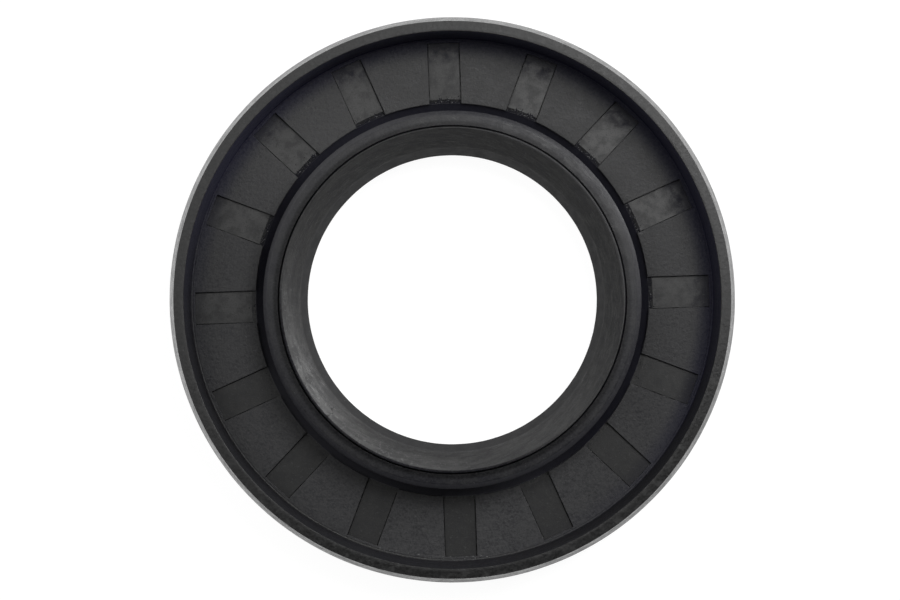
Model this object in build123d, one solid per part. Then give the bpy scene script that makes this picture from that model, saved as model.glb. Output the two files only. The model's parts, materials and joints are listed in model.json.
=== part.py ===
from build123d import *
import os
from math import atan2, cos, radians, sqrt, tan

# Rubber-covered radial shaft seal with a garter spring and a dust lip.
# Millimetres. The axis is Z, the air side is down at z = 0 and the oil side is up.
# Each section is drawn as (radius, height) and turned once round the axis.

# ---------------------------------------------------------------- what it fits
SHAFT_DIAMETER = 40.0
HOUSING_DIAMETER = 75.0
WIDTH = 10.0
LIP_SQUEEZE = 0.71  # radial, by which the free sealing lip is under the shaft
DUST_LIP_SQUEEZE = 0.15  # radial, the same for the dust lip
PRESS_ALLOWANCE = 0.15  # radial, by which the moulded outside is over the housing

# ---------------------------------------------------------------- pressed steel case
CASE_THICKNESS = 1.0
CASE_BEND = 0.5  # inside radius of the bend

# ---------------------------------------------------------------- rubber round the case
OUTER_COVER = 0.85  # over the outside of the case
AIR_COVER = 0.8  # under its web
WEB_SKIN = 0.5  # over its web
TOP_COVER = 1.4  # over its free edge
EDGE_COVER = 0.6  # inside its inner edge
RIM_LINING = 0.24  # on its inside, at the rim's face
RIM_DRAFT = 3.0  # degrees, of the rim's inner wall
RIM_ROOT_ROUND = 0.25
RIM_FLAT = 0.35  # level inner border of the rim's face
RIM_FACE_DROP = 0.12  # the rest of it falls outwards by this
RIM_FACE_BLEND = 1.0
RIM_EDGE_ROUND = 0.1
LEAD_IN_RADIAL = 0.76  # chamfer of the outside on the oil side
LEAD_IN_AXIAL = 3.3
LEAD_IN_ROUND = 0.6
HEEL_RADIAL = 0.45  # chamfer of the outside on the air side
HEEL_AXIAL = 1.2
HEEL_ROUND = 0.4

# ---------------------------------------------------------------- recesses in the skin
RECESS_COUNT = 16
RECESS_WIDTH = 4.3
RECESS_END_GAP = 0.36  # skin left between a recess and the root of the rim

# ---------------------------------------------------------------- sealing lip
CONTACT_HEIGHT = 5.3  # of the contact edge over the air side
CONTACT_BAND = 0.3
EDGE_CONE_WIDTH = 0.98  # radial width of the steep cone next to the contact edge
EDGE_CONE_ANGLE = 32.0  # degrees from the axis
FACE_CONE_WIDTH = 2.52  # radial width of the oil side cone above it
FACE_CONE_ANGLE = 49.0
FACE_CONE_BLEND = 1.6  # radius between the two cones
BACK_CONE_ANGLE = 25.0  # air side of the lip
RIDGE_WIDTH = 0.1
RIDGE_STEP_WIDTH = 0.28
RIDGE_STEP_DEPTH = 0.46
CREASE_OUT = 0.16  # radial, from the ridge to the bottom of the crease behind it
CREASE_DEPTH = 0.15
CREASE_EDGE_ROUND = 0.08

# ---------------------------------------------------------------- head and its spring
END_FACE_WIDTH = 1.39  # nearly flat ring outside the ridge
END_FACE_FALL = 0.12
HEAD_EDGE_WIDTH = 0.56  # its outer border, which falls faster
HEAD_EDGE_FALL = 0.27
HEAD_EDGE_THICKNESS = 0.28
HEAD_EDGE_ROUND = 0.1
END_FACE_BLEND = 1.0
COIL_DIAMETER = 2.0
SPRING_SEAT = 2.6  # radial, from the contact edge to the bottom of the groove
SPRING_OFFSET = 0.55  # axial, from the contact edge towards the air side
GROOVE_CLEARANCE = 0.05  # radial, round the coil
GROOVE_MOUTH = 0.67  # from the groove's centre out to the side of the head
GROOVE_LAND = 0.39  # side of the head beyond each edge of the mouth

# ---------------------------------------------------------------- flex section and dust lip
HEAD_GAP = 1.28  # radial, from the head's edge to the skin over the web
TROUGH_WIDTH = 1.3
TROUGH_FLOOR = 0.85  # thickness of rubber under the trough
TROUGH_STEP = 0.6  # upright upper edge of its outer wall
TROUGH_DRAFT = 0.9  # radial run of the wall below the step
TROUGH_ROUND = 0.22
SKIN_EDGE_ROUND = 0.12
FLEX_THICKNESS = 1.25
REAR_LIP_OUT = 0.65  # the rear spring-retaining lip, out from the flex section
REAR_LIP_FALL = 0.55
REAR_LIP_ROUND = 0.3
FLEX_HEEL_ROUND = 0.8
DUST_ROOT_OUT = 3.0  # radial, from the contact edge to the root of the dust lip
DUST_ROOT_ROUND = 0.5
DUST_LIP_ANGLE = 45.0  # inner face of the dust lip, from the axis
DUST_TIP_HEIGHT = 0.45
DUST_TIP_WIDTH = 0.1
DUST_TIP_RISE = 0.25
DUST_TIP_ROUND = 0.06
POCKET_ROUND = 0.3  # grease pocket between the two lips

# ---------------------------------------------------------------- places worked out
lip_radius = SHAFT_DIAMETER / 2 - LIP_SQUEEZE
dust_tip_radius = SHAFT_DIAMETER / 2 - DUST_LIP_SQUEEZE
outside_radius = HOUSING_DIAMETER / 2 + PRESS_ALLOWANCE
case_outer_radius = outside_radius - OUTER_COVER
case_inner_radius = case_outer_radius - CASE_THICKNESS
web_top = AIR_COVER + CASE_THICKNESS
skin_top = web_top + WEB_SKIN

band_bottom = CONTACT_HEIGHT - CONTACT_BAND / 2
band_top = CONTACT_HEIGHT + CONTACT_BAND / 2
edge_cone_radius = lip_radius + EDGE_CONE_WIDTH
edge_cone_top = band_top + EDGE_CONE_WIDTH / tan(radians(EDGE_CONE_ANGLE))
ridge_radius = edge_cone_radius + FACE_CONE_WIDTH
ridge_top = edge_cone_top + FACE_CONE_WIDTH / tan(radians(FACE_CONE_ANGLE))
end_face_radius = ridge_radius + RIDGE_WIDTH + RIDGE_STEP_WIDTH
end_face_top = ridge_top - RIDGE_STEP_DEPTH
head_edge_radius = end_face_radius + END_FACE_WIDTH + HEAD_EDGE_WIDTH
head_edge_top = end_face_top - END_FACE_FALL - HEAD_EDGE_FALL

coil_radius = COIL_DIAMETER / 2
groove_radius = coil_radius + GROOVE_CLEARANCE
groove_height = CONTACT_HEIGHT - SPRING_OFFSET
groove_centre_radius = lip_radius + SPRING_SEAT + groove_radius
spring_radius = lip_radius + SPRING_SEAT + coil_radius
head_side_radius = groove_centre_radius + GROOVE_MOUTH
land_reach = sqrt(groove_radius**2 - GROOVE_MOUTH**2) + GROOVE_LAND

skin_edge_radius = head_edge_radius + HEAD_GAP
case_edge_radius = skin_edge_radius + EDGE_COVER
trough_radius = skin_edge_radius - TROUGH_WIDTH
flex_radius = head_side_radius - REAR_LIP_OUT
flex_top = groove_height - land_reach - REAR_LIP_FALL
flex_slope = atan2(flex_top - TROUGH_FLOOR, trough_radius - flex_radius)
flex_drop = FLEX_THICKNESS / cos(flex_slope)
flex_heel_radius = trough_radius - (flex_drop - TROUGH_FLOOR) / tan(flex_slope)
dust_root_radius = lip_radius + DUST_ROOT_OUT
dust_root_height = (flex_heel_radius - dust_root_radius) * tan(flex_slope)
dust_tip_top = DUST_TIP_HEIGHT + DUST_TIP_RISE
back_run = tan(radians(BACK_CONE_ANGLE))
dust_run = tan(radians(DUST_LIP_ANGLE))
pocket_depth = (band_bottom - dust_tip_top) * dust_run + dust_tip_radius - lip_radius
pocket_height = band_bottom - pocket_depth / (back_run + dust_run)
pocket_radius = lip_radius + (band_bottom - pocket_height) * back_run

rim_inner_radius = case_inner_radius - RIM_LINING
rim_root_radius = rim_inner_radius - (WIDTH - skin_top) * tan(radians(RIM_DRAFT))
recess_end_radius = rim_root_radius - RIM_ROOT_ROUND - RECESS_END_GAP


def section(corners):
    """Closed face in the XZ plane. Each corner is (radius, height, round)."""
    with BuildSketch(Plane.XZ) as face:
        with BuildLine():
            FilletPolyline(
                *[(radius, height) for radius, height, _ in corners],
                radius=[corner_round for _, _, corner_round in corners],
                close=True,
            )
        make_face()
    return face.sketch


def steel_case():
    """Pressed ring of L section: a web with a hole, and a cylinder up from its rim."""
    top = WIDTH - TOP_COVER
    corners = [
        (case_edge_radius, AIR_COVER, 0),
        (case_outer_radius, AIR_COVER, CASE_BEND + CASE_THICKNESS),
        (case_outer_radius, top, 0),
        (case_inner_radius, top, 0),
        (case_inner_radius, web_top, CASE_BEND),
        (case_edge_radius, web_top, 0),
    ]
    return revolve(section(corners), Axis.Z)


def garter_spring():
    """Closed coil spring, as the ring that its turns fill."""
    return Pos(0, 0, groove_height) * Torus(spring_radius, coil_radius)


def rubber_section():
    """Section of the moulded rubber, with the spring's groove and the case filled in."""
    rim = [
        (outside_radius - HEEL_RADIAL, 0, HEEL_ROUND),
        (outside_radius, HEEL_AXIAL, HEEL_ROUND),
        (outside_radius, WIDTH - LEAD_IN_AXIAL, LEAD_IN_ROUND),
        (outside_radius - LEAD_IN_RADIAL, WIDTH - RIM_FACE_DROP, RIM_EDGE_ROUND),
        (rim_inner_radius + RIM_FLAT, WIDTH, RIM_FACE_BLEND),
        (rim_inner_radius, WIDTH, RIM_EDGE_ROUND),
        (rim_root_radius, skin_top, RIM_ROOT_ROUND),
    ]
    trough = [
        (skin_edge_radius, skin_top, SKIN_EDGE_ROUND),
        (skin_edge_radius, skin_top - TROUGH_STEP, 0),
        (skin_edge_radius - TROUGH_DRAFT, TROUGH_FLOOR, TROUGH_ROUND),
        (trough_radius, TROUGH_FLOOR, TROUGH_ROUND),
        (flex_radius, flex_top, REAR_LIP_ROUND),
    ]
    head_side = [
        (head_side_radius, groove_height - land_reach, HEAD_EDGE_ROUND),
        (head_side_radius, groove_height + land_reach, REAR_LIP_ROUND),
        (head_edge_radius, head_edge_top - HEAD_EDGE_THICKNESS, HEAD_EDGE_ROUND),
        (head_edge_radius, head_edge_top, HEAD_EDGE_ROUND),
    ]
    oil_face = [
        (end_face_radius + END_FACE_WIDTH, end_face_top - END_FACE_FALL, END_FACE_BLEND),
        (end_face_radius, end_face_top, CREASE_EDGE_ROUND),
        (ridge_radius + RIDGE_WIDTH + CREASE_OUT, end_face_top - CREASE_DEPTH, 0),
        (ridge_radius + RIDGE_WIDTH, ridge_top, 0),
        (ridge_radius, ridge_top, 0),
        (edge_cone_radius, edge_cone_top, FACE_CONE_BLEND),
        (lip_radius, band_top, 0),
    ]
    air_face = [
        (lip_radius, band_bottom, 0),
        (pocket_radius, pocket_height, POCKET_ROUND),
        (dust_tip_radius, dust_tip_top, DUST_TIP_ROUND),
        (dust_tip_radius + DUST_TIP_WIDTH, DUST_TIP_HEIGHT, DUST_TIP_ROUND),
        (dust_root_radius, dust_root_height, DUST_ROOT_ROUND),
        (flex_heel_radius, 0, FLEX_HEEL_ROUND),
    ]
    outline = section(rim + trough + head_side + oil_face + air_face)
    groove = Plane.XZ * Pos(groove_centre_radius, groove_height) * Circle(groove_radius)
    return outline - groove


def recesses():
    """Cutters for the recesses, open towards the trough and down to the steel."""
    length = recess_end_radius - trough_radius
    cutter = Box(length, RECESS_WIDTH, WIDTH, align=(Align.MIN, Align.CENTER, Align.MIN))
    return PolarLocations(trough_radius, RECESS_COUNT, start_angle=90) * (Pos(0, 0, web_top) * cutter)


def rubber_body(case):
    """The moulding: turned section, less the recesses and the case that it is cured on."""
    body = revolve(rubber_section(), Axis.Z)
    return body - recesses() - case


case = steel_case()
pieces = {
    "rubber_body": rubber_body(case),
    "steel_case": case,
    "garter_spring": garter_spring(),
}

os.makedirs("parts", exist_ok=True)
for name, piece in pieces.items():
    export_step(piece, f"parts/{name}.step")
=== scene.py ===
"""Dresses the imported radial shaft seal: moulded rubber, coated steel in its recesses, wound spring."""
import json
from math import asin, ceil, cos, hypot, radians, sin, sqrt, tau
from random import Random

import bmesh
import bpy
from mathutils import Matrix, Vector, noise

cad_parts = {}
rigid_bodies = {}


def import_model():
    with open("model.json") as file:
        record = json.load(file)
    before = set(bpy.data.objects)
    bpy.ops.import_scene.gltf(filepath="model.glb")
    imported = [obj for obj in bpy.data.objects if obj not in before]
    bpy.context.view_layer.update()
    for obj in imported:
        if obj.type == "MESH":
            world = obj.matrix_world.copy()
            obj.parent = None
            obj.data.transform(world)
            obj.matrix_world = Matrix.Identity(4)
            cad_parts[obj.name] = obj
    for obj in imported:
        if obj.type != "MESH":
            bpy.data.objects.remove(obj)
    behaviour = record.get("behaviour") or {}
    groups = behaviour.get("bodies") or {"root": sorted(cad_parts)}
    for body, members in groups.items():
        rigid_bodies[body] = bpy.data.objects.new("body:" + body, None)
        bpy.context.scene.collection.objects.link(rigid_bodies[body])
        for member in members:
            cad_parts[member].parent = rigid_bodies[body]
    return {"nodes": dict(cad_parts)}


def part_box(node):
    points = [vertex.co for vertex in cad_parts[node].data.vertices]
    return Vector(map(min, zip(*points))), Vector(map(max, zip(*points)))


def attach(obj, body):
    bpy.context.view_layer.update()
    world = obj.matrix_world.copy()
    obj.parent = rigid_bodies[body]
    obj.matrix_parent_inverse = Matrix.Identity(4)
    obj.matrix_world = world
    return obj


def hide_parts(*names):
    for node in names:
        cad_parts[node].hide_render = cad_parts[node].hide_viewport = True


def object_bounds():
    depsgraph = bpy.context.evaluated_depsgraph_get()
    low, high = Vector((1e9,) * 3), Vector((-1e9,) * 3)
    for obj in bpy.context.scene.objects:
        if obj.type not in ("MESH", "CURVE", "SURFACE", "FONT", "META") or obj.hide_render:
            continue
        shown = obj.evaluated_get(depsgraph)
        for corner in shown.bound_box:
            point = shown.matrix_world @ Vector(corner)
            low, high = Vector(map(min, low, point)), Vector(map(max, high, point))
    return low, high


for leftover in list(bpy.data.objects):
    bpy.data.objects.remove(leftover)

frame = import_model()
cad_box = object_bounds()
ROLL = radians(-2)  # of the camera
MM = 0.001  # lengths below are in millimetres, except where a comment says metres


def azimuth_at(bearing):
    """Frame azimuth of a bearing in degrees clockwise from the top of the main view."""
    return radians(90 - bearing) + ROLL


def polar(radius, azimuth, height):
    """A point at a radius and an azimuth round the axis."""
    return Vector((radius * cos(azimuth), radius * sin(azimuth), height))


# ---------------------------------------------------------------- the section, from the frame
def section_loops(node, azimuth):
    """Closed outlines that a half plane through the axis cuts from a node, as (radius, height)."""
    mesh = bmesh.new()
    mesh.from_mesh(node.data)
    bmesh.ops.remove_doubles(mesh, verts=mesh.verts, dist=1e-7)
    across = Vector((-sin(azimuth), cos(azimuth), 0))
    out = Vector((cos(azimuth), sin(azimuth), 0))
    ahead = {vert: vert.co.dot(across) > 0 for vert in mesh.verts}
    links = {}
    for face in mesh.faces:
        cut = [e for e in face.edges if ahead[e.verts[0]] != ahead[e.verts[1]]]
        if len(cut) == 2 and sum(vert.co.dot(out) for vert in cut[0].verts) > 0:
            links.setdefault(cut[0], []).append(cut[1])
            links.setdefault(cut[1], []).append(cut[0])
    loops, seen = [], set()
    for start in links:
        loop, here = [], start
        while here is not None and here not in seen:
            seen.add(here)
            vert = next(v for v in here.verts if ahead[v])
            loop.append((hypot(vert.co.x, vert.co.y) / MM, vert.co.z / MM))
            here = next((edge for edge in links[here] if edge not in seen), None)
        if loop:
            loops.append(clockwise(without_straights(loop)))
    mesh.free()
    return sorted(loops, key=len, reverse=True)


def without_straights(loop, slack=0.001, closest=0.02):
    """The same outline, with one point for those that nearly meet and none along a straight stretch."""
    single = [loop[0]]
    for point in loop[1:]:
        if min(hypot(point[0] - x, point[1] - y) for x, y in (single[0], single[-1])) > closest:
            single.append(point)
    kept = []
    for i, (x, y) in enumerate(single):
        bx, by = kept[-1] if kept else single[-1]
        ax, ay = single[(i + 1) % len(single)]
        if abs((ax - bx) * (y - by) - (ay - by) * (x - bx)) > slack * hypot(ax - bx, ay - by):
            kept.append((x, y))
    return kept


def clockwise(loop):
    """The loop, turned round if it runs the other way."""
    area = sum(x * loop[i - 1][1] - loop[i - 1][0] * y for i, (x, y) in enumerate(loop))
    return loop if area > 0 else loop[::-1]


def from_point(loop, chosen):
    """The same closed loop, started at the point that chosen picks out."""
    start = next(i for i, point in enumerate(loop) if chosen(point, loop[(i + 1) % len(loop)]))
    return loop[start:] + loop[:start]


def with_rows(path, longest, border=0.1):
    """An open path with more points on its long stretches, and one near each end of them."""
    rows = [path[0]]
    for (x0, y0), (x1, y1) in zip(path, path[1:]):
        length = hypot(x1 - x0, y1 - y0)
        stops = []
        if length > 6 * border:
            count = ceil((length - 2 * border) / longest)
            step = (length - 2 * border) / count
            stops = [(border + step * i) / length for i in range(count + 1)]
        rows += [(x0 + (x1 - x0) * t, y0 + (y1 - y0) * t) for t in stops + [1]]
    return rows


# ---------------------------------------------------------------- the moulded rubber
RECESS_COUNT = 16
RECESS_WIDTH = 4.3
RECESS_AZIMUTH = radians(90)
RECESS_COLUMNS = 6
PAD_COLUMNS = 12
COLUMNS = RECESS_COLUMNS + PAD_COLUMNS
EDGE_BREAK = 0.06  # soft edge of the skin round a recess
ROW_SPACING = 0.85  # longest step between rows of the mesh
HIDDEN_ROW_SPACING = 3.0  # the same in the room for the steel case

sector = tau / RECESS_COUNT
half_width = RECESS_WIDTH / 2
outline, cavity = section_loops(frame["nodes"]["rubber_body"], RECESS_AZIMUTH + sector / 2)
steel_outline = section_loops(frame["nodes"]["steel_case"], RECESS_AZIMUTH)[0]
steel_edge = round(min(radius for radius, _ in steel_outline), 4)
recess_floor = max(height for radius, height in steel_outline if radius < steel_edge + 0.01)

# The outline goes clockwise, so it climbs the side of the trough and runs outwards over the skin.
outline = from_point(
    outline,
    lambda p, q: p[1] < recess_floor < q[1] and steel_edge - 2 < p[0] < steel_edge,
)
(r0, z0), (r1, z1) = outline[:2]
mouth = (r0 + (r1 - r0) * (recess_floor - z0) / (z1 - z0), recess_floor)
skin_start = next(i for i in range(1, len(outline)) if outline[i + 1][0] - outline[i][0] > 2)
skin_top = outline[skin_start][1]
open_loop = section_loops(frame["nodes"]["rubber_body"], RECESS_AZIMUTH + 0.005)[0]
corner_radius = round(min(radius for radius, height in open_loop if abs(height - skin_top) < 0.002), 4)
recess_end = sqrt(corner_radius**2 - half_width**2)
corner = (corner_radius, skin_top)

pad_path = [mouth] + outline[1 : skin_start + 1] + [(steel_edge, skin_top), corner]
pad_rows = with_rows(pad_path, ROW_SPACING)
body_rows = with_rows([corner] + outline[skin_start + 1 :] + [outline[0], mouth], ROW_SPACING)
cavity = from_point(cavity, lambda p, q: p[0] < steel_edge + 0.01 and p[1] > recess_floor - 0.01)
foot_radii = sorted({round(radius, 4) for radius, _ in pad_rows})
strip_rows = [(radius, recess_floor) for radius in foot_radii if radius <= steel_edge]
under_rows = [(radius, recess_floor) for radius in foot_radii if radius >= steel_edge]
cavity_rows = with_rows([(corner_radius, recess_floor)] + cavity[1:] + [cavity[0]], HIDDEN_ROW_SPACING)


def place(row, column):
    """Where a row of the section, (radius, height), crosses a column of the mesh, in metres."""
    radius, height = row
    number, step = divmod(column, COLUMNS)
    edge = asin(half_width / min(max(radius, mouth[0]), corner_radius))
    if step <= RECESS_COLUMNS:
        side = half_width * (2 * step / RECESS_COLUMNS - 1)
        if radius == corner_radius:
            return local(number, recess_end, side, height)
        azimuth = asin(side / half_width * sin(edge))
    else:
        azimuth = edge + (sector - 2 * edge) * (step - RECESS_COLUMNS) / PAD_COLUMNS
    return local(number, radius * cos(azimuth), radius * sin(azimuth), height)


def local(number, out, side, height):
    """A point given outwards from the axis and sideways from the middle of one recess, in metres."""
    azimuth = RECESS_AZIMUTH + number * sector
    return Vector(
        (
            (out * cos(azimuth) - side * sin(azimuth)) * MM,
            (out * sin(azimuth) + side * cos(azimuth)) * MM,
            height * MM,
        )
    )


class Shell:
    """A mesh whose corners are shared wherever two patches meet on the same row and column."""

    def __init__(self):
        self.mesh = bmesh.new()
        self.corners = {}

    def vert(self, row, column):
        """The corner where a row and a column cross, made when it is first asked for."""
        column %= RECESS_COUNT * COLUMNS
        key = (round(row[0], 4), round(row[1], 4), column)
        if key not in self.corners:
            self.corners[key] = self.mesh.verts.new(place(row, column))
        return self.corners[key]

    def face(self, *spots):
        """One face through crossings of rows and columns, some of which may be the same."""
        verts = []
        for spot in spots:
            vert = self.vert(*spot)
            if vert not in verts:
                verts.append(vert)
        self.mesh.faces.new(verts)

    def patch(self, rows, columns):
        """A strip of faces between neighbouring rows, one for each column."""
        for near, far in zip(rows, rows[1:]):
            for column in columns:
                self.face((near, column), (near, column + 1), (far, column + 1), (far, column))


def rubber_moulding():
    """The moulding as one closed skin, with the room for the steel case inside it."""
    shell = Shell()
    every = range(RECESS_COUNT * COLUMNS)
    in_recess = [c for c in every if c % COLUMNS < RECESS_COLUMNS]
    on_pad = [c for c in every if c % COLUMNS >= RECESS_COLUMNS]
    shell.patch(body_rows, every)
    shell.patch(pad_rows, on_pad)
    shell.patch(under_rows, on_pad)
    shell.patch(strip_rows, in_recess)
    shell.patch([corner, (corner_radius, recess_floor)], in_recess)
    shell.patch(cavity_rows, every)
    feet = strip_rows[1:] + under_rows[1:]
    for number in range(RECESS_COUNT):
        for column in (number * COLUMNS, number * COLUMNS + RECESS_COLUMNS):
            shell.face(*((row, column) for row in pad_rows + feet[::-1]))
    return shell.mesh


def soften_recesses(mesh):
    """Rounds the skin's edge round each recess, where it stands over the steel."""
    rim = []
    for edge in mesh.edges:
        level = all(abs(vert.co.z / MM - skin_top) < 0.001 for vert in edge.verts)
        faces = edge.link_faces
        if level and len(faces) == 2 and min(abs(face.normal.z) for face in faces) < 0.1:
            if all(hypot(*vert.co.xy) < (corner_radius + 0.01) * MM for vert in edge.verts):
                if sum(hypot(*vert.co.xy) for vert in edge.verts) / 2 > (steel_edge - 0.3) * MM:
                    rim.append(edge)
    bmesh.ops.bevel(
        mesh,
        geom=rim,
        offset=EDGE_BREAK * MM,
        offset_type="OFFSET",
        segments=2,
        profile=0.5,
        affect="EDGES",
        clamp_overlap=False,
    )


def finished(name, mesh, material, smooth_below=radians(14)):
    """Turns a bmesh into a piece of the object, smooth except where its faces meet at a real edge."""
    data = bpy.data.meshes.new(name)
    mesh.to_mesh(data)
    mesh.free()
    data.shade_smooth()
    data.set_sharp_from_angle(angle=smooth_below)
    piece = bpy.data.objects.new(name, data)
    bpy.context.scene.collection.objects.link(piece)
    data.materials.append(material)
    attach(piece, "root")
    return piece


SLOW_WAVES = 0.006  # height of the unevenness that is everywhere
FAST_WAVES = 0.003
TRIM_RADIUS = 19.6  # the trimmed edge of the lip is inside this, between these heights
TRIM_BOTTOM, TRIM_TOP = 4.9, 5.8
TRIM_WAVES = 0.012
SKIN_EDGE_RADIUS = 26.41  # the skin's edge along the trough, between these heights
SKIN_EDGE_BOTTOM, SKIN_EDGE_TOP = 2.0, 2.27
SKIN_EDGE_WAVES = 0.04
FLOOR_CONTACT = 0.02  # what is lower than this lies flat


def roughen(mesh):
    """Small unevenness of a moulded and trimmed part, in the shape itself.

    The numbers that a position is multiplied by are waves per millimetre.
    """
    moves = {}
    for vert in mesh.verts:
        spot = vert.co / MM
        radius = hypot(spot.x, spot.y)
        slow = noise.noise(spot * 0.35)
        fast = noise.noise(spot * 2.1 + Vector((7, 3, 1)))
        amount = SLOW_WAVES * slow + FAST_WAVES * fast
        if radius < TRIM_RADIUS and TRIM_BOTTOM < spot.z < TRIM_TOP:
            amount += TRIM_WAVES * noise.noise(spot * 3.0)
        if spot.z < FLOOR_CONTACT:
            amount = 0
        moves[vert] = vert.normal * amount * MM
        if abs(radius - SKIN_EDGE_RADIUS) < 0.03 and SKIN_EDGE_BOTTOM < spot.z < SKIN_EDGE_TOP:
            outward = Vector((*vert.co.xy, 0)).normalized()
            moves[vert] += outward * SKIN_EDGE_WAVES * noise.noise(spot * 1.4) * MM
    for vert, move in moves.items():
        vert.co += move


# ---------------------------------------------------------------- materials
def grey(level, blue=None):
    """A grey colour, cooler or warmer where its blue part is given."""
    return (level, level, level if blue is None else blue, 1)


class Nodes:
    """Short way to write the nodes of a material or a world."""

    def __init__(self, tree):
        self.nodes = tree.nodes
        self.links = tree.links

    def node(self, kind, inputs=(), **settings):
        made = self.nodes.new(kind)
        for key, value in settings.items():
            setattr(made, key, value)
        for key, value in dict(inputs).items():
            self.feed(made.inputs[key], value)
        return made

    def feed(self, socket, value):
        if isinstance(value, bpy.types.NodeSocket):
            self.links.new(value, socket)
        else:
            socket.default_value = value

    def math(self, operation, first, second=0.0, clamp=False):
        inputs = {0: first, 1: second}
        return self.node("ShaderNodeMath", inputs, operation=operation, use_clamp=clamp).outputs[0]

    def times(self, first, second):
        return self.math("MULTIPLY", first, second)

    def plus(self, first, second):
        return self.math("ADD", first, second)

    def minus(self, first, second):
        return self.math("SUBTRACT", first, second)

    def shown_white(self):
        """1 to the camera and in gloss or clear pieces, 0 where light is only passed on."""
        paths = self.node("ShaderNodeLightPath").outputs
        in_gloss = self.math("MAXIMUM", paths["Is Glossy Ray"], paths["Is Transmission Ray"])
        return self.math("MAXIMUM", paths["Is Camera Ray"], in_gloss)


class Graph(Nodes):
    """The nodes of one material. Positions in it are in millimetres."""

    def __init__(self, name):
        self.material = bpy.data.materials.new(name)
        self.material.use_nodes = True
        super().__init__(self.material.node_tree)
        self.shader = self.nodes["Principled BSDF"]
        place = self.node("ShaderNodeTexCoord").outputs["Object"]
        self.spot = self.vector("SCALE", place, scale=1 / MM)
        split = self.node("ShaderNodeSeparateXYZ", {"Vector": self.spot})
        self.x, self.y, self.z = split.outputs
        squares = self.plus(self.times(self.x, self.x), self.times(self.y, self.y))
        self.radius = self.math("SQRT", squares)

    def vector(self, operation, first, second=(0, 0, 0), scale=1.0):
        made = self.node("ShaderNodeVectorMath", {0: first, 1: second}, operation=operation)
        if operation == "SCALE":
            made.inputs["Scale"].default_value = scale
        return made.outputs[0]

    def noise(self, size, where=None, detail=3.0, roughness=0.55, shift=0.0):
        """Noise from 0 to 1 whose features are about size millimetres across."""
        where = self.vector("ADD", where or self.spot, (shift, shift * 1.7, shift * 0.6))
        inputs = {"Vector": where, "Scale": 1 / size, "Detail": detail, "Roughness": roughness}
        return self.node("ShaderNodeTexNoise", inputs).outputs[0]

    def between(self, value, low, high, out_low=0.0, out_high=1.0):
        """Smooth step of a value from out_low at low to out_high at high."""
        inputs = {
            "Value": value,
            "From Min": low,
            "From Max": high,
            "To Min": out_low,
            "To Max": out_high,
        }
        return self.node("ShaderNodeMapRange", inputs, interpolation_type="SMOOTHSTEP").outputs[0]

    def zone(self, inner, outer, low, high, soft=0.1):
        """1 between two radii and two heights, falling off softly outside them."""
        from_inside = self.between(self.radius, inner - soft, inner)
        from_outside = self.between(self.radius, outer + soft, outer)
        from_below = self.between(self.z, low - soft, low)
        from_above = self.between(self.z, high + soft, high)
        return self.times(self.times(from_inside, from_outside), self.times(from_below, from_above))

    def toward(self, bearing):
        """1 on the side of the seal at a bearing in the main view, -1 on the opposite side."""
        azimuth = azimuth_at(bearing)
        along = self.plus(self.times(self.x, cos(azimuth)), self.times(self.y, sin(azimuth)))
        return self.math("DIVIDE", along, self.radius)

    def scar(self, bearing, inner, outer):
        """Thin wavering mark along a radius."""
        azimuth = azimuth_at(bearing)
        across = self.minus(self.times(self.y, cos(azimuth)), self.times(self.x, sin(azimuth)))
        across = self.plus(across, self.between(self.noise(0.9, shift=3), 0.3, 0.7, -0.35, 0.35))
        line = self.between(self.math("ABSOLUTE", across), 0.09, 0.03)
        there = self.times(self.zone(inner, outer, 6, 10), self.between(self.toward(bearing), 0.9, 0.95))
        return self.times(line, there)

    def mix(self, factor, first, second):
        """The first colour where the factor is 0 and the second where it is 1."""
        made = self.node("ShaderNodeMix", data_type="RGBA")
        self.feed(made.inputs[0], factor)
        self.feed(made.inputs[6], first)
        self.feed(made.inputs[7], second)
        return made.outputs[2]

    def combine(self, **parts):
        """A vector from the parts x, y and z that are given, with 0 for the others."""
        inputs = {key.upper(): value for key, value in parts.items()}
        return self.node("ShaderNodeCombineXYZ", inputs).outputs[0]

    def round_axis(self, along, across, middle=22):
        """Position stretched round the axis, for features of these lengths at the middle radius."""
        scale = self.math("DIVIDE", 1.0, self.radius)
        unit = self.combine(x=self.times(self.x, scale), y=self.times(self.y, scale))
        turned = self.vector("MULTIPLY", unit, (middle / along,) * 3)
        stacked = self.combine(
            z=self.math("DIVIDE", self.radius, across),
            x=self.math("DIVIDE", self.z, across),
        )
        return self.vector("ADD", turned, stacked)

    def bump(self, height, depth, before=None):
        """Bump by a height from 0 to 1 that stands for depth millimetres."""
        made = self.node("ShaderNodeBump", {"Height": height})
        made.inputs["Distance"].default_value = depth * MM
        made.inputs["Strength"].default_value = 1.0
        if before is not None:
            self.links.new(before, made.inputs["Normal"])
        return made.outputs[0]

    def surface(self, **inputs):
        """The material, with these inputs of its shader; a name's spaces are written as underscores."""
        for key, value in inputs.items():
            self.feed(self.shader.inputs[key.replace("_", " ")], value)
        return self.material


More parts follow.
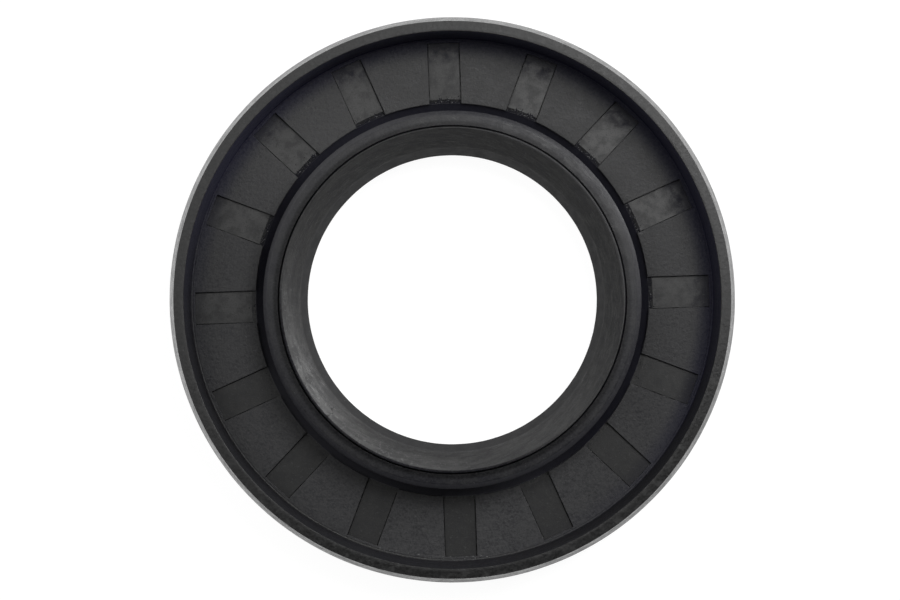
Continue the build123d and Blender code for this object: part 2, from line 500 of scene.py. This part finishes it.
def rubber():
    """Black moulded rubber: cloudy skin, trough with dust and painted light, lip face with wear and a
    painted highlight, glossier head, rim and lead-in, with painted light and shade on skin, rim, wall,
    ring and ridge.
    """
    g = Graph("moulded_rubber")
    # Each zone is given by its inner and outer radius and its lowest and highest point.
    skin = g.zone(26.3, 34.8, 2.2, 2.5)
    trough = g.zone(23.0, 26.4, 0.4, 2.2)
    wall = g.zone(34.9, 35.6, 2.6, 9.85)
    rim = g.zone(35.55, 36.9, 9.7, 10.2, soft=0.05)
    # Painted shade in the mouths of the recesses, toward the top.
    mouths = g.zone(26.42, 27.05, 1.5, 1.9, soft=0.02)
    mouths = g.times(mouths, g.between(g.toward(10), -0.3, 0.5))
    # Painted shadow of the rim on the skin near its foot, on every side but the lower one.
    root = g.times(g.between(g.radius, 32.2, 34.8), g.between(g.toward(25), -0.9, 0.3))
    root = g.times(root, g.zone(30, 35.3, 2.2, 2.7))
    head = g.zone(22.95, 25.4, 6.1, 10)
    # Painted shade on the ring beside the ridge, a little weaker toward the upper right.
    ring_painted_shade = g.zone(22.9, 23.5, 8.3, 10, soft=0.5)
    ring_painted_shade = g.times(ring_painted_shade, g.between(g.toward(50), 0.9, -0.2, 0.75, 1.0))
    ridge = g.zone(22.64, 22.92, 8.7, 10, soft=0.06)
    head_edge = g.zone(24.6, 25.4, 8.0, 10)
    lip_face = g.zone(20.3, 22.9, 6.9, 10)
    lip_edge = g.zone(18.0, 20.1, 5.3, 7.0)
    lead_in = g.zone(36.93, 40, 6.5, 9.95)

    patches = g.noise(4.0, detail=4.0)
    blotches = g.noise(1.2, detail=5.0, roughness=0.6, shift=11)
    grain = g.noise(0.3, detail=3.0, roughness=0.6, shift=17)
    specks = g.noise(0.16, detail=2.0, shift=23)
    dust = g.noise(0.5, detail=6.0, roughness=0.7, shift=41)
    streaks = g.noise(1.0, g.round_axis(1.6, 0.12), detail=4.0, roughness=0.6)
    smears = g.noise(1.0, g.round_axis(2.4, 0.6), detail=4.0, roughness=0.55)
    lower = g.between(g.toward(166), -0.1, 0.9)

    tint = g.mix(g.between(patches, 0.38, 0.62), grey(0.013, 0.0145), grey(0.020))
    clouded = g.mix(g.between(blotches, 0.36, 0.64), grey(0.0155, 0.018), grey(0.028, 0.030))
    tint = g.mix(skin, tint, clouded)
    # Painted light: the skin is lighter toward the top.
    tint = g.mix(g.times(skin, g.between(g.toward(5), -0.3, 1.0, 0, 0.45)), tint, grey(0.046))
    tint = g.mix(g.times(g.between(grain, 0.42, 0.64), 0.30), tint, grey(0.045))
    tint = g.mix(g.times(skin, g.between(streaks, 0.52, 0.66, 0, 0.35)), tint, grey(0.05))
    tint = g.mix(g.between(grain, 0.44, 0.34, 0, 0.25), tint, grey(0.008))
    # Painted shadow near the rim's foot, dark and purple.
    tint = g.mix(g.times(root, 0.75), tint, grey(0.013, 0.030))
    # Painted shade in the recess mouths.
    tint = g.mix(mouths, tint, grey(0.004, 0.005))
    # Painted light and shade on the rim's face: lighter toward the upper right, dark toward the bottom.
    rim_painted_light = g.mix(g.between(g.toward(64), 0.5, 1), grey(0.019), grey(0.030))
    rim_painted_light_and_shade = g.mix(lower, rim_painted_light, grey(0.005))
    tint = g.mix(g.times(rim, g.between(patches, 0.3, 0.7, 0.75, 1.0)), tint, rim_painted_light_and_shade)
    tint = g.mix(g.times(rim, g.between(blotches, 0.50, 0.66, 0, 0.4)), tint, grey(0.045))
    # Dust and painted light in the trough: paler overall, and lighter toward the bottom.
    trough_dust_and_painted_light = g.mix(g.between(g.toward(208), 0.2, 1.0), grey(0.017, 0.026), grey(0.052, 0.062))
    tint = g.mix(trough, tint, trough_dust_and_painted_light)
    # Painted light: the rim's inner wall is lighter and bluer toward the top, where it lies in shade.
    wall_painted_light = g.mix(g.between(g.toward(10), -0.5, 0.9), grey(0.007, 0.010), grey(0.031, 0.062))
    tint = g.mix(wall, tint, wall_painted_light)
    glossy = g.mix(g.between(patches, 0.40, 0.60), grey(0.006, 0.009), grey(0.011, 0.013))
    tint = g.mix(head, tint, glossy)
    tint = g.mix(head_edge, tint, grey(0.022, 0.026))
    # Painted shade beside the ridge.
    tint = g.mix(ring_painted_shade, tint, grey(0.003, 0.004))
    tint = g.mix(lip_edge, tint, grey(0.012, 0.013))
    face = g.mix(g.between(smears, 0.34, 0.66), grey(0.022, 0.023), grey(0.032))
    face = g.mix(g.between(streaks, 0.58, 0.70, 0, 0.5), face, grey(0.060))
    # Wear and a painted highlight on the lip face toward the lower left: pale smears and dust where the
    # highlight falls.
    face_wear_and_painted_highlight = g.times(g.between(g.toward(228), 0.35, 1.0), g.between(g.radius, 20.6, 22.0))
    face = g.mix(g.times(face_wear_and_painted_highlight, g.between(smears, 0.40, 0.62, 0.2, 0.5)), face, grey(0.10))
    face = g.mix(g.times(face_wear_and_painted_highlight, g.between(dust, 0.54, 0.64, 0, 0.5)), face, grey(0.15))
    tint = g.mix(lip_face, tint, face)
    # Painted shade on the ridge toward the lower left, and a painted highlight toward the upper right.
    tint = g.mix(g.times(ridge, g.between(g.toward(212), 0.2, 0.7)), tint, grey(0.013, 0.015))
    tint = g.mix(g.times(ridge, g.between(g.toward(54), 0.6, 1.0)), tint, grey(0.052, 0.054))
    tint = g.mix(g.between(specks, 0.64, 0.8, 0, 0.6), tint, grey(0.07))
    tint = g.mix(g.times(g.between(dust, 0.64, 0.72), 0.6), tint, grey(0.09))
    tint = g.mix(g.scar(227.2, 21.0, 22.6), tint, grey(0.006))

    rough = g.between(blotches, 0.3, 0.7, 0.50, 0.62)
    rough = g.plus(rough, g.between(grain, 0.35, 0.65, -0.08, 0.08))
    rough = g.minus(rough, g.times(head, 0.10))
    rough = g.minus(rough, g.times(rim, 0.05))
    rough = g.minus(rough, g.times(lip_face, g.between(smears, 0.4, 0.6, 0.04, 0.13)))
    polish = g.minus(g.between(smears, 0.36, 0.64, 0.24, 0.36), g.times(lower, 0.10))
    rough = g.minus(rough, g.times(lead_in, polish))
    shine = g.between(grain, 0.35, 0.65, 0.42, 0.58)
    shine = g.minus(shine, g.times(lip_edge, 0.12))
    shine = g.minus(shine, g.times(ring_painted_shade, 0.20))
    shine = g.minus(shine, g.times(ridge, g.between(g.toward(212), 0.2, 0.7, 0, 0.3)))
    shine = g.math("SUBTRACT", shine, g.times(g.math("MAXIMUM", root, mouths), 0.30), clamp=True)

    normal = g.bump(g.noise(0.17, detail=3.0, shift=5), 0.009)
    normal = g.bump(g.noise(0.7, detail=3.0, shift=31), 0.014, normal)
    open_faces = g.math("MAXIMUM", skin, rim)
    normal = g.bump(g.times(g.noise(0.5, detail=4.0, shift=57), open_faces), 0.055, normal)
    normal = g.bump(g.times(g.between(streaks, 0.54, 0.66), lip_face), 0.010, normal)
    return g.surface(Base_Color=tint, Roughness=rough, Specular_IOR_Level=shine, Normal=normal, IOR=1.45)


def coated_steel():
    """Case web with its dark bonding coat: cloudy, glossier than the rubber, with painted light toward
    two sides, a painted rim shadow and painted shade at the walls' feet.
    """
    g = Graph("coated_steel")
    clouds = g.noise(1.6, detail=6.0, roughness=0.65)
    worms = g.noise(0.45, detail=5.0, roughness=0.7, shift=15)
    grain = g.noise(0.2, detail=3.0, roughness=0.6, shift=33)
    specks = g.noise(0.15, detail=2.0, shift=9)
    turn = g.plus(g.math("DIVIDE", g.math("ARCTAN2", g.y, g.x), sector), 0.5 - RECESS_AZIMUTH / sector)
    turn = g.times(g.minus(g.math("FLOORED_MODULO", turn, 1.0), 0.5), sector)
    side = g.math("ABSOLUTE", g.times(g.radius, g.math("SINE", turn)))
    # Painted shade: a dark line along the foot of each recess wall.
    foot = g.between(side, half_width - 0.13, half_width - 0.04)
    foot = g.times(foot, g.between(clouds, 0.40, 0.56, 0.35, 1.0))

    tint = g.mix(g.between(clouds, 0.36, 0.64), grey(0.004, 0.005), grey(0.012))
    # Painted light on the steel: pale clouds toward the upper right and, fainter, toward the upper left.
    pale = g.times(g.between(g.toward(46), 0.5, 1.0), g.between(clouds, 0.34, 0.60, 0.3, 1.0))
    tint = g.mix(pale, tint, grey(0.052))
    pale = g.times(g.between(g.toward(304), 0.55, 0.95), g.between(clouds, 0.34, 0.60, 0.3, 1.0))
    tint = g.mix(pale, tint, grey(0.038))
    # Painted shadow of the rim on the steel: at the recesses' outer ends toward the top, and at the rim's
    # foot.
    painted_rim_shadow = g.times(g.between(g.radius, 31.2, 33.4), g.between(g.toward(20), 0.0, 0.6))
    painted_rim_shadow = g.times(painted_rim_shadow, g.between(clouds, 0.70, 0.34, 0.3, 1.0))
    root = g.times(g.between(g.radius, 32.4, 34.3), g.between(g.toward(25), -0.9, 0.3))
    painted_rim_shadow = g.math("MAXIMUM", painted_rim_shadow, g.times(root, 0.85))
    tint = g.mix(painted_rim_shadow, tint, grey(0.006, 0.014))
    tint = g.mix(g.between(worms, 0.56, 0.70, 0, 0.55), tint, grey(0.05))
    tint = g.mix(g.between(grain, 0.46, 0.34, 0, 0.6), tint, grey(0.003))
    tint = g.mix(g.between(specks, 0.64, 0.8, 0, 0.6), tint, grey(0.09))
    # Painted shade at the walls' feet.
    tint = g.mix(foot, tint, grey(0.002))
    rough = g.between(clouds, 0.3, 0.7, 0.50, 0.38)
    dull = g.math("MAXIMUM", foot, g.times(painted_rim_shadow, 0.6))
    shine = g.times(g.minus(1.0, dull), 0.5)
    normal = g.bump(g.noise(0.18, detail=4.0, shift=5), 0.011)
    normal = g.bump(worms, 0.014, normal)
    return g.surface(Base_Color=tint, Roughness=rough, Specular_IOR_Level=shine, Normal=normal, IOR=1.48)


def torn_rubber(name, dark, light, share):
    """Torn flash: a dark and a light grey, the light one on more of it as share goes from 0 to 1."""
    g = Graph(name)
    specks = g.noise(0.2, detail=2.0, shift=3)
    pale = g.between(specks, 0.66 - 0.3 * share, 0.76 - 0.3 * share)
    tint = g.mix(pale, grey(dark, dark + 0.004), grey(light))
    rough = g.between(specks, 0.3, 0.7, 0.4, 0.6)
    normal = g.bump(g.noise(0.08, detail=2.0, shift=8), 0.01)
    return g.surface(Base_Color=tint, Roughness=rough, Specular_IOR_Level=0.14, Normal=normal, IOR=1.45)


def spring_wire():
    """Drawn steel wire with faint brown stains."""
    g = Graph("spring_wire")
    stains = g.noise(0.8, detail=4.0)
    tint = g.mix(g.between(stains, 0.4, 0.65), (0.35, 0.34, 0.32, 1), (0.22, 0.20, 0.17, 1))
    rough = g.between(stains, 0.3, 0.7, 0.24, 0.42)
    normal = g.bump(g.noise(0.05, detail=2.0), 0.002)
    return g.surface(Base_Color=tint, Metallic=1.0, Roughness=rough, Normal=normal)


mesh = rubber_moulding()
bmesh.ops.recalc_face_normals(mesh, faces=mesh.faces)
soften_recesses(mesh)
mesh.normal_update()
roughen(mesh)
moulding = finished("rubber_moulding", mesh, rubber())
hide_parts("rubber_body")

case = frame["nodes"]["steel_case"]
case.data.materials.clear()
case.data.materials.append(coated_steel())

# ---------------------------------------------------------------- the garter spring
WIRE_DIAMETER = 0.4
TURN_STEPS = 14
WIRE_SIDES = 6


def garter_coil():
    """Close-wound wire bent into a ring, its two ends joined."""
    low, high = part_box("garter_spring")
    coil = (high.z - low.z) / 2 / MM
    ring = high.x / MM - coil
    centre = (high.z + low.z) / 2 / MM
    winding = coil - WIRE_DIAMETER / 2
    turns = int(tau * (ring - winding) / WIRE_DIAMETER)
    count = turns * TURN_STEPS
    path = []
    for i in range(count):
        turn = tau * i / TURN_STEPS
        azimuth = tau * i / count
        radius = ring + winding * cos(turn)
        path.append(polar(radius, azimuth, centre + winding * sin(turn)))
    mesh = bmesh.new()
    rings = []
    for i, here in enumerate(path):
        along = (path[(i + 1) % count] - path[i - 1]).normalized()
        middle = polar(ring, tau * i / count, centre)
        out = (here - middle).normalized()
        side = along.cross(out).normalized()
        out = side.cross(along)
        ring_verts = []
        for k in range(WIRE_SIDES):
            turn = tau * k / WIRE_SIDES
            spot = here + (out * cos(turn) + side * sin(turn)) * WIRE_DIAMETER / 2
            ring_verts.append(mesh.verts.new(spot * MM))
        rings.append(ring_verts)
    for i, near in enumerate(rings):
        far = rings[(i + 1) % count]
        for k in range(WIRE_SIDES):
            mesh.faces.new((near[k], far[k], far[(k + 1) % WIRE_SIDES], near[(k + 1) % WIRE_SIDES]))
    bmesh.ops.recalc_face_normals(mesh, faces=mesh.faces)
    return mesh


coil = finished("garter_coil", garter_coil(), spring_wire(), smooth_below=radians(75))
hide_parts("garter_spring")

# ---------------------------------------------------------------- torn flash
FILM_COLUMNS = 50
FILM_ROWS = 4
FILM_SHARE = 0.985  # of the width of a recess
FILM_START = 0.03  # from the mouth of a recess outwards
FILM_WIDTH = 0.18  # where it is narrowest
FILM_THICKNESS = 0.012  # where it is thinnest
FILM_FOOT = 0.02  # depth of its underside below the floor of the recess
LEAST_FOR_FILM = 0.5
DIRTY_BEARING = 10  # most of the flash is on this side
CRUMBS = 44
CORNER_CRUMBS = 4
SHREDS = 70
SHREDS_BEARING = 186
LOWER_RECESSES = (6, 7, 8, 9, 10)
LOWER_SHREDS = 5
DUSTY_SIDES = (9, 10, 11)  # recesses with pale crumbs along one side
SIDE_CRUMBS = 9
WALL_CRUMBS = ((53, 5.5), (56, 5.0), (288, 6.2), (52, 4.2), (120, 7.0), (20, 6.0))  # bearing, height


def lump(mesh, middle, reach, dice, stretch=1.5, turn=None):
    """A torn crumb of rubber: an uneven closed lump, its length along turn if that is given."""
    made = bmesh.ops.create_icosphere(mesh, subdivisions=1, radius=1.0)["verts"]
    shape = Vector((dice.uniform(0.5, 1) * stretch, dice.uniform(0.5, 1), dice.uniform(0.35, 0.8)))
    spin = Matrix.Rotation(dice.uniform(0, tau) if turn is None else turn, 3, "Z")
    for vert in made:
        spot = vert.co * dice.uniform(0.6, 1.25)
        spot = spin @ Vector((spot.x * shape.x, spot.y * shape.y, spot.z * shape.z))
        vert.co = middle + spot * reach * MM


def film(mesh, number, amount):
    """Ragged film that lies on the steel along the mouth of one recess."""
    grid = []
    for row in range(FILM_ROWS + 1):
        along = row / FILM_ROWS
        line = []
        for column in range(FILM_COLUMNS + 1):
            side = half_width * (2 * column / FILM_COLUMNS - 1) * FILM_SHARE
            ragged = noise.noise(Vector((side * 1.3, number * 7.7, 1.3)))
            ragged += 1.1 * noise.noise(Vector((side * 9.0, number * 7.7, 5.1)))
            width = FILM_WIDTH + amount * max(0.0, 0.12 + 0.70 * ragged)
            out = mouth[0] + FILM_START + width * along
            swelling = 0.05 * abs(noise.noise(Vector((side * 5, out * 5, number))))
            thick = (FILM_THICKNESS + swelling) * (1 - along**4)
            line.append(mesh.verts.new(local(number, out, side, recess_floor + thick)))
        grid.append(line)
    feet = [[mesh.verts.new(vert.co) for vert in line] for line in (grid[0], grid[-1])]
    for vert in feet[0] + feet[1]:
        vert.co.z = (recess_floor - FILM_FOOT) * MM
    sheet = [feet[0]] + grid + [feet[1]]
    for near, far in zip(sheet, sheet[1:]):
        for k in range(FILM_COLUMNS):
            mesh.faces.new((near[k], far[k], far[k + 1], near[k + 1]))
    for k in (0, FILM_COLUMNS):
        mesh.faces.new([line[k] for line in sheet])
    for k in range(FILM_COLUMNS):
        mesh.faces.new((feet[0][k], feet[0][k + 1], feet[1][k + 1], feet[1][k]))


def torn_flash():
    """Dark film and crumbs that the mould left at the recess mouths.

    The amount at a recess goes from 0 to 1.1 with the side of the seal that it is on.
    """
    mesh = bmesh.new()
    dice = Random(5)
    for number in range(RECESS_COUNT):
        amount = 0.55 + 0.55 * cos(RECESS_AZIMUTH + number * sector - azimuth_at(DIRTY_BEARING))
        if amount > LEAST_FOR_FILM:
            film(mesh, number, amount)
        for _ in range(int(CRUMBS * amount)):
            side = dice.uniform(-0.95, 0.95) * half_width
            out = steel_edge - 0.5 + abs(dice.gauss(0, 0.45))
            lump(mesh, local(number, out, side, recess_floor + 0.02), dice.uniform(0.03, 0.085), dice)
        for edge in (-1, 1):
            for _ in range(int(CORNER_CRUMBS * amount)):
                out = steel_edge + abs(dice.gauss(0, 1.2))
                spot = local(number, out, edge * (half_width - 0.05), recess_floor + 0.02)
                lump(mesh, spot, dice.uniform(0.02, 0.05), dice)
    bmesh.ops.recalc_face_normals(mesh, faces=mesh.faces)
    return mesh


def pale_shreds():
    """Pale threads and crumbs: at the foot of the rim, at the lower recesses and on the rim's wall."""
    mesh = bmesh.new()
    dice = Random(11)
    for _ in range(SHREDS):
        azimuth = azimuth_at(dice.gauss(SHREDS_BEARING, 9))
        radius = dice.uniform(34.55, 35.1)
        spot = polar(radius, azimuth, skin_top + 0.02) * MM
        lump(mesh, spot, dice.uniform(0.03, 0.07), dice, 3.5, azimuth + radians(90) + dice.gauss(0, 0.3))
    for number in LOWER_RECESSES:
        for _ in range(LOWER_SHREDS):
            side = dice.uniform(-0.9, 0.9) * half_width
            spot = local(number, steel_edge - 0.5, side, recess_floor + 0.02)
            along = RECESS_AZIMUTH + number * sector + radians(90)
            lump(mesh, spot, dice.uniform(0.03, 0.06), dice, 4.0, along)
    for number in DUSTY_SIDES:
        for _ in range(SIDE_CRUMBS):
            spot = local(number, dice.uniform(steel_edge, recess_end), -half_width, skin_top)
            along = RECESS_AZIMUTH + number * sector
            lump(mesh, spot, dice.uniform(0.025, 0.05), dice, 5.0, along)
    for bearing, height in WALL_CRUMBS:
        spot = polar(rim_wall(height) + 0.01, azimuth_at(bearing), height) * MM
        lump(mesh, spot, 0.05, dice)
    bmesh.ops.recalc_face_normals(mesh, faces=mesh.faces)
    return mesh


def rim_wall(height):
    """Radius of the rim's inner wall at a height."""
    foot = max((p for p in outline if p[1] < skin_top + 1 and 34.9 < p[0] < 35.5), key=lambda p: p[1])
    head = min((p for p in outline if p[1] > 9 and 35.2 < p[0] < 35.7), key=lambda p: p[1])
    return foot[0] + (head[0] - foot[0]) * (height - foot[1]) / (head[1] - foot[1])


dark_flash = torn_rubber("torn_rubber", 0.004, 0.13, 0.28)
finished("torn_flash", torn_flash(), dark_flash, radians(40))
dusted_flash = torn_rubber("pale_shreds", 0.05, 0.16, 0.6)
finished("pale_shreds", pale_shreds(), dusted_flash, radians(40))

# ---------------------------------------------------------------- camera, floor and light
PICTURE_WIDTH, PICTURE_HEIGHT = 900, 600  # pixels
CAMERA_ABOVE_RIM = 450.0
FOCAL_PIXELS = 3404.2
AXIS_PIXEL = (452.3, 299.8)  # where the seal's axis shows in the picture
SENSOR_WIDTH = 36
FLOOR_RADIUS = 3.0  # metres
FLOOR_DROP = 0.03  # keeps the floor clear of the flat air side
SKY = 0.08  # brightness of the sky
STRIP_END, STRIP_FULL = 0.16, 0.10  # the white strip fades out between these heights, of a sky 1 high
LAMPS = (
    # name, bearing and elevation in degrees, distance and size in metres, power in watts
    ("key", 41, 62, 0.3, 0.14, 0.48),
    ("low", 60, 20, 0.5, 0.2, 1.25),
    ("left", 325, 25, 0.6, 0.4, 0.65),
    ("upper_left", 298, 62, 0.6, 0.4, 0.86),
)

rim_top = cad_box[1].z / MM
eye = bpy.data.cameras.new("eye")
eye.sensor_width = SENSOR_WIDTH
eye.lens = SENSOR_WIDTH * FOCAL_PIXELS / PICTURE_WIDTH
eye.clip_start = 0.01
camera = bpy.data.objects.new("camera", eye)
camera.rotation_euler = (0, 0, ROLL)
per_pixel = CAMERA_ABOVE_RIM / FOCAL_PIXELS
aside = (PICTURE_WIDTH / 2 - AXIS_PIXEL[0]) * per_pixel
ahead = (AXIS_PIXEL[1] - PICTURE_HEIGHT / 2) * per_pixel
offset = Matrix.Rotation(ROLL, 3, "Z") @ Vector((aside, ahead, 0))
camera.location = (offset + Vector((0, 0, rim_top + CAMERA_ABOVE_RIM))) * MM
bpy.context.scene.collection.objects.link(camera)
bpy.context.scene.camera = camera
bpy.context.scene.view_settings.view_transform = "Standard"

floor_mesh = bmesh.new()
bmesh.ops.create_circle(floor_mesh, cap_ends=True, radius=FLOOR_RADIUS, segments=96)
floor_data = bpy.data.meshes.new("floor")
floor_mesh.to_mesh(floor_data)
floor = bpy.data.objects.new("floor", floor_data)
floor.location.z = -FLOOR_DROP * MM
bpy.context.scene.collection.objects.link(floor)


def pale_floor():
    """Near-white floor that keeps a soft shadow and shows as white to the camera and in gloss."""
    g = Graph("pale_floor")
    seen = g.shown_white()
    glow = g.node("ShaderNodeEmission", {"Color": (1, 1, 1, 1), "Strength": 0.95}).outputs[0]
    matt = g.node("ShaderNodeBsdfDiffuse", {"Color": (0.15, 0.15, 0.15, 1)}).outputs[0]
    bright = g.node("ShaderNodeAddShader", {0: glow, 1: matt}).outputs[0]
    plain = g.node("ShaderNodeBsdfDiffuse", {"Color": (0.8, 0.8, 0.8, 1)}).outputs[0]
    shown = g.node("ShaderNodeMixShader", {0: seen, 1: plain, 2: bright}).outputs[0]
    g.links.new(shown, g.nodes["Material Output"].inputs["Surface"])
    g.nodes.remove(g.shader)
    return g.material


floor_data.materials.append(pale_floor())


def studio():
    """Dim even sky, with a white strip along the horizon that only the camera and gloss see."""
    world = bpy.data.worlds.new("studio")
    world.use_nodes = True
    g = Nodes(world.node_tree)
    direction = g.node("ShaderNodeTexCoord").outputs["Generated"]
    up = g.node("ShaderNodeSeparateXYZ", {0: direction}).outputs["Z"]
    heights = {"Value": up, "From Min": STRIP_END, "From Max": STRIP_FULL}
    strip = g.node("ShaderNodeMapRange", heights).outputs[0]
    white = g.times(g.shown_white(), strip)
    strength = g.node("ShaderNodeMapRange", {"Value": white, "To Min": SKY, "To Max": 1.0}).outputs[0]
    background = g.nodes["Background"]
    g.feed(background.inputs["Strength"], strength)
    g.feed(background.inputs["Color"], (1, 1, 1, 1))
    return world


bpy.context.scene.world = studio()


def soft_lamp(name, bearing, elevation, distance, size, power):
    """Square lamp aimed at the middle of the rim."""
    lamp = bpy.data.lights.new(name, "AREA")
    lamp.shape = "SQUARE"
    lamp.size = size
    lamp.energy = power
    up = radians(elevation)
    toward = polar(cos(up), azimuth_at(bearing), sin(up))
    made = bpy.data.objects.new(name, lamp)
    made.location = toward * distance + Vector((0, 0, rim_top * MM))
    made.rotation_euler = toward.to_track_quat("Z", "Y").to_euler()
    bpy.context.scene.collection.objects.link(made)


for settings in LAMPS:
    soft_lamp(*settings)
